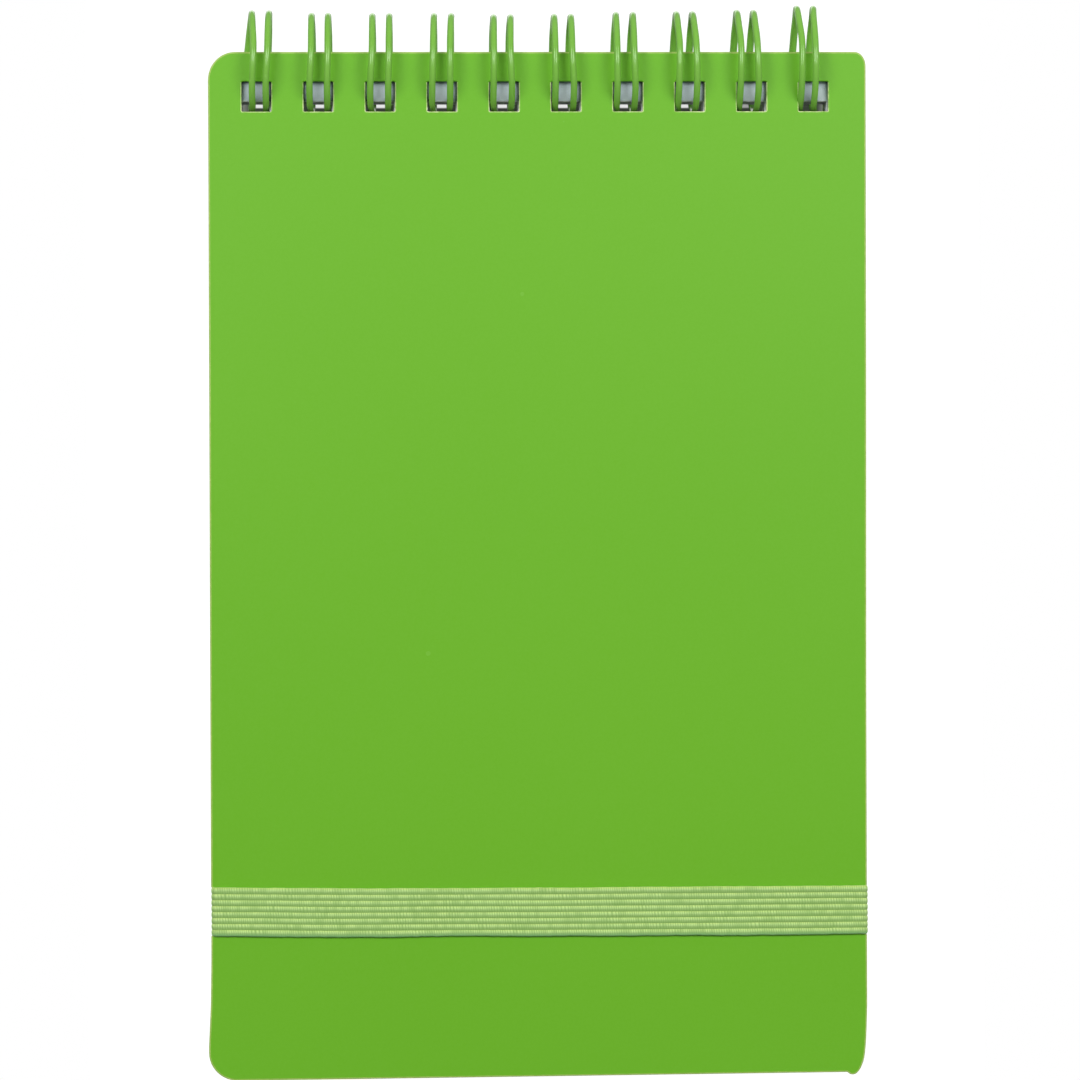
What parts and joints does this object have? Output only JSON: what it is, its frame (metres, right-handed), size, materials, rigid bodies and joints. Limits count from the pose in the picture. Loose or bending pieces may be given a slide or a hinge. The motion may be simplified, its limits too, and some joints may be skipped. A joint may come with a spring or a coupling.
{
  "type": "pocket notebook",
  "caption": "Top-bound pocket notebook with rounded plastic covers, square punched holes, a closed twin-loop wire, plain leaves and a flat elastic closing band.",
  "frame": {"origin": "centre of the rear cover's outer face, without the cover's small drop on the wire", "axes": "+Y towards the bound edge, +Z out of the front cover, +X to the reader's right"},
  "size_m": [0.09, 0.1456, 0.0138],
  "materials": {
    "cover": "satin",
    "wire": "gloss",
    "band": "matte",
    "paper": "matte"
  },
  "bodies": {
    "base": {"rear_cover": "cover", "elastic_band_rear": "band"},
    "wire": {"twin_loop_wire": "wire"},
    "band": {"elastic_band_front": "band"},
    "cover": {"front_cover": "cover"},
    "leaf_01": {"leaf_01": "paper"},
    "leaf_02": {"leaf_02": "paper"},
    "leaf_03": {"leaf_03": "paper"},
    "leaf_04": {"leaf_04": "paper"},
    "leaf_05": {"leaf_05": "paper"},
    "leaf_06": {"leaf_06": "paper"},
    "leaf_07": {"leaf_07": "paper"},
    "leaf_08": {"leaf_08": "paper"},
    "leaf_09": {"leaf_09": "paper"},
    "leaf_10": {"leaf_10": "paper"},
    "leaf_11": {"leaf_11": "paper"},
    "leaf_12": {"leaf_12": "paper"},
    "leaf_13": {"leaf_13": "paper"},
    "leaf_14": {"leaf_14": "paper"},
    "leaf_15": {"leaf_15": "paper"},
    "leaf_16": {"leaf_16": "paper"},
    "leaf_17": {"leaf_17": "paper"},
    "leaf_18": {"leaf_18": "paper"},
    "leaf_19": {"leaf_19": "paper"},
    "leaf_20": {"leaf_20": "paper"},
    "leaf_21": {"leaf_21": "paper"},
    "leaf_22": {"leaf_22": "paper"},
    "leaf_23": {"leaf_23": "paper"},
    "leaf_24": {"leaf_24": "paper"},
    "leaf_25": {"leaf_25": "paper"},
    "leaf_26": {"leaf_26": "paper"},
    "leaf_27": {"leaf_27": "paper"},
    "leaf_28": {"leaf_28": "paper"},
    "leaf_29": {"leaf_29": "paper"},
    "leaf_30": {"leaf_30": "paper"},
    "leaf_31": {"leaf_31": "paper"},
    "leaf_32": {"leaf_32": "paper"}
  },
  "joints": [
    {"name": "band_slip", "type": "slide", "parent": "base", "child": "band", "axis": [0, -1, 0], "range_m": [0, 0.03], "deforming": ["elastic_band_front"]},
    {"name": "cover_turn", "type": "hinge", "parent": "leaf_01", "child": "cover", "pos_m": [0, 0.0685, 0.0027], "axis": [-1, 0, 0], "range_deg": [0, 190]},
    {"name": "wire_turn", "type": "hinge", "parent": "base", "child": "wire", "pos_m": [0, 0.0685, 0.0027], "axis": [-1, 0, 0], "range_deg": [-225, 30]},
    {"name": "leaf_01_turn", "type": "hinge", "parent": "leaf_02", "child": "leaf_01", "pos_m": [0, 0.0685, 0.0027], "axis": [-1, 0, 0], "range_deg": [0, 180]},
    {"name": "leaf_02_turn", "type": "hinge", "parent": "leaf_03", "child": "leaf_02", "pos_m": [0, 0.0685, 0.0027], "axis": [-1, 0, 0], "range_deg": [0, 180]},
    {"name": "leaf_03_turn", "type": "hinge", "parent": "leaf_04", "child": "leaf_03", "pos_m": [0, 0.0685, 0.0027], "axis": [-1, 0, 0], "range_deg": [0, 180]},
    {"name": "leaf_04_turn", "type": "hinge", "parent": "leaf_05", "child": "leaf_04", "pos_m": [0, 0.0685, 0.0027], "axis": [-1, 0, 0], "range_deg": [0, 180]},
    {"name": "leaf_05_turn", "type": "hinge", "parent": "leaf_06", "child": "leaf_05", "pos_m": [0, 0.0685, 0.0027], "axis": [-1, 0, 0], "range_deg": [0, 180]},
    {"name": "leaf_06_turn", "type": "hinge", "parent": "leaf_07", "child": "leaf_06", "pos_m": [0, 0.0685, 0.0027], "axis": [-1, 0, 0], "range_deg": [0, 180]},
    {"name": "leaf_07_turn", "type": "hinge", "parent": "leaf_08", "child": "leaf_07", "pos_m": [0, 0.0685, 0.0027], "axis": [-1, 0, 0], "range_deg": [0, 180]},
    {"name": "leaf_08_turn", "type": "hinge", "parent": "leaf_09", "child": "leaf_08", "pos_m": [0, 0.0685, 0.0027], "axis": [-1, 0, 0], "range_deg": [0, 180]},
    {"name": "leaf_09_turn", "type": "hinge", "parent": "leaf_10", "child": "leaf_09", "pos_m": [0, 0.0685, 0.0027], "axis": [-1, 0, 0], "range_deg": [0, 180]},
    {"name": "leaf_10_turn", "type": "hinge", "parent": "leaf_11", "child": "leaf_10", "pos_m": [0, 0.0685, 0.0027], "axis": [-1, 0, 0], "range_deg": [0, 180]},
    {"name": "leaf_11_turn", "type": "hinge", "parent": "leaf_12", "child": "leaf_11", "pos_m": [0, 0.0685, 0.0027], "axis": [-1, 0, 0], "range_deg": [0, 180]},
    {"name": "leaf_12_turn", "type": "hinge", "parent": "leaf_13", "child": "leaf_12", "pos_m": [0, 0.0685, 0.0027], "axis": [-1, 0, 0], "range_deg": [0, 180]},
    {"name": "leaf_13_turn", "type": "hinge", "parent": "leaf_14", "child": "leaf_13", "pos_m": [0, 0.0685, 0.0027], "axis": [-1, 0, 0], "range_deg": [0, 180]},
    {"name": "leaf_14_turn", "type": "hinge", "parent": "leaf_15", "child": "leaf_14", "pos_m": [0, 0.0685, 0.0027], "axis": [-1, 0, 0], "range_deg": [0, 180]},
    {"name": "leaf_15_turn", "type": "hinge", "parent": "leaf_16", "child": "leaf_15", "pos_m": [0, 0.0685, 0.0027], "axis": [-1, 0, 0], "range_deg": [0, 180]},
    {"name": "leaf_16_turn", "type": "hinge", "parent": "leaf_17", "child": "leaf_16", "pos_m": [0, 0.0685, 0.0027], "axis": [-1, 0, 0], "range_deg": [0, 180]},
    {"name": "leaf_17_turn", "type": "hinge", "parent": "leaf_18", "child": "leaf_17", "pos_m": [0, 0.0685, 0.0027], "axis": [-1, 0, 0], "range_deg": [0, 180]},
    {"name": "leaf_18_turn", "type": "hinge", "parent": "leaf_19", "child": "leaf_18", "pos_m": [0, 0.0685, 0.0027], "axis": [-1, 0, 0], "range_deg": [0, 180]},
    {"name": "leaf_19_turn", "type": "hinge", "parent": "leaf_20", "child": "leaf_19", "pos_m": [0, 0.0685, 0.0027], "axis": [-1, 0, 0], "range_deg": [0, 180]},
    {"name": "leaf_20_turn", "type": "hinge", "parent": "leaf_21", "child": "leaf_20", "pos_m": [0, 0.0685, 0.0027], "axis": [-1, 0, 0], "range_deg": [0, 180]},
    {"name": "leaf_21_turn", "type": "hinge", "parent": "leaf_22", "child": "leaf_21", "pos_m": [0, 0.0685, 0.0027], "axis": [-1, 0, 0], "range_deg": [0, 180]},
    {"name": "leaf_22_turn", "type": "hinge", "parent": "leaf_23", "child": "leaf_22", "pos_m": [0, 0.0685, 0.0027], "axis": [-1, 0, 0], "range_deg": [0, 180]},
    {"name": "leaf_23_turn", "type": "hinge", "parent": "leaf_24", "child": "leaf_23", "pos_m": [0, 0.0685, 0.0027], "axis": [-1, 0, 0], "range_deg": [0, 180]},
    {"name": "leaf_24_turn", "type": "hinge", "parent": "leaf_25", "child": "leaf_24", "pos_m": [0, 0.0685, 0.0027], "axis": [-1, 0, 0], "range_deg": [0, 180]},
    {"name": "leaf_25_turn", "type": "hinge", "parent": "leaf_26", "child": "leaf_25", "pos_m": [0, 0.0685, 0.0027], "axis": [-1, 0, 0], "range_deg": [0, 180]},
    {"name": "leaf_26_turn", "type": "hinge", "parent": "leaf_27", "child": "leaf_26", "pos_m": [0, 0.0685, 0.0027], "axis": [-1, 0, 0], "range_deg": [0, 180]},
    {"name": "leaf_27_turn", "type": "hinge", "parent": "leaf_28", "child": "leaf_27", "pos_m": [0, 0.0685, 0.0027], "axis": [-1, 0, 0], "range_deg": [0, 180]},
    {"name": "leaf_28_turn", "type": "hinge", "parent": "leaf_29", "child": "leaf_28", "pos_m": [0, 0.0685, 0.0027], "axis": [-1, 0, 0], "range_deg": [0, 180]},
    {"name": "leaf_29_turn", "type": "hinge", "parent": "leaf_30", "child": "leaf_29", "pos_m": [0, 0.0685, 0.0027], "axis": [-1, 0, 0], "range_deg": [0, 180]},
    {"name": "leaf_30_turn", "type": "hinge", "parent": "leaf_31", "child": "leaf_30", "pos_m": [0, 0.0685, 0.0027], "axis": [-1, 0, 0], "range_deg": [0, 180]},
    {"name": "leaf_31_turn", "type": "hinge", "parent": "leaf_32", "child": "leaf_31", "pos_m": [0, 0.0685, 0.0027], "axis": [-1, 0, 0], "range_deg": [0, 180]},
    {"name": "leaf_32_turn", "type": "hinge", "parent": "base", "child": "leaf_32", "pos_m": [0, 0.0685, 0.0027], "axis": [-1, 0, 0], "range_deg": [0, 180]}
  ]
}
